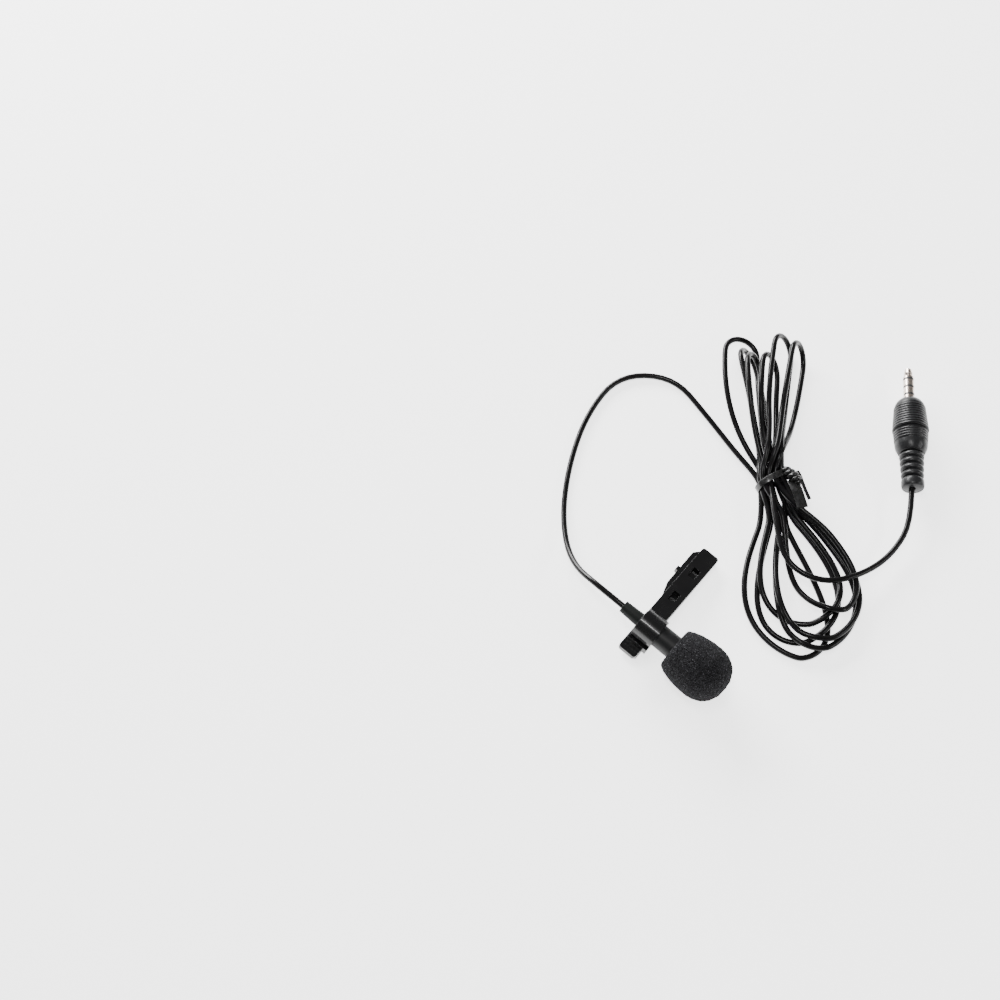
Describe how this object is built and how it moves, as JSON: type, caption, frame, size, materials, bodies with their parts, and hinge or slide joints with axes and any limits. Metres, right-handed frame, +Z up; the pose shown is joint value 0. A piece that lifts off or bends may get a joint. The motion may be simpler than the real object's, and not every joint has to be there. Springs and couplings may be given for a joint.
{
  "type": "lavalier microphone",
  "caption": "Clip-on electret microphone: slim barrel with foam windscreen, sprung clip on a swivelling ring, thin lead tied in a hank, and a 3.5 mm plug.",
  "frame": {"origin": "bottom centre of the head's box (barrel, windscreen and clip, without the lead), on the surface it lies on", "axes": "+X along the barrel towards the windscreen, +Y along the clip towards its jaws, +Z up"},
  "size_m": [0.1163, 0.1433, 0.0182],
  "materials": {
    "barrel": "satin black anodised",
    "gasket": "soft black",
    "felt": "black felt",
    "can": "bright drawn",
    "brass": "plain",
    "film": "metallised film",
    "white_plastic": "natural",
    "board": "solder mask",
    "black_plastic": "moulded",
    "wire_red": "enamelled",
    "wire_copper": "bare strands",
    "relief_rubber": "matte soft",
    "cord": "glossy sleeve",
    "tie": "plastic-covered wire",
    "plug_moulding": "satin moulded",
    "contact": "nickel plated",
    "insulator": "black insulating rings",
    "foam": "open-cell foam",
    "clip": "glossy moulded",
    "steel": "plain"
  },
  "bodies": {
    "microphone": {"barrel_housing": "barrel", "front_grille": "barrel", "capsule_gasket": "gasket", "dust_felt": "felt", "capsule_can": "can", "diaphragm_ring": "brass", "diaphragm": "film", "diaphragm_spacer": "film", "backplate": "brass", "capsule_insulator": "white_plastic", "contact_ring": "brass", "capsule_circuit_board": "board", "fet_transistor": "black_plastic", "signal_wire": "wire_red", "shield_wire": "wire_copper", "cable_crimp": "brass", "rear_bush": "black_plastic", "mic_strain_relief": "relief_rubber", "mic_lead": "cord", "cable_hank": "cord", "plug_lead": "cord", "twist_tie": "tie", "plug_body": "plug_moulding", "plug_boot": "plug_moulding", "jack_tip": "contact", "jack_ring_one": "contact", "jack_ring_two": "contact", "jack_sleeve": "contact", "tip_insulator": "insulator", "ring_insulator": "insulator", "sleeve_insulator": "insulator", "jack_core": "insulator", "jack_solder_tag": "brass", "plug_crimp": "brass"},
    "clip": {"clip_upper_lever": "clip", "hinge_pin": "steel", "torsion_spring": "steel"},
    "lower_jaw": {"clip_lower_lever": "clip"},
    "windscreen": {"foam_windscreen": "foam"}
  },
  "joints": [
    {"name": "clip_turn", "type": "hinge", "parent": "microphone", "child": "clip", "pos_m": [-0.00911, -0.01286, 0.01162], "axis": [0.9917, 0, -0.1288], "continuous": true},
    {"name": "jaw_open", "type": "hinge", "parent": "clip", "child": "lower_jaw", "pos_m": [-0.01012, -0.0137, 0.00383], "axis": [-0.9917, 0, 0.1288], "range_deg": [0, 22], "stiffness_Nm_per_rad": 0.03, "springref_deg": -40.11, "deforming": ["torsion_spring"]},
    {"name": "windscreen_pull", "type": "slide", "parent": "microphone", "child": "windscreen", "axis": [0.9917, 0, -0.1288], "range_m": [0, 0.015]}
  ]
}
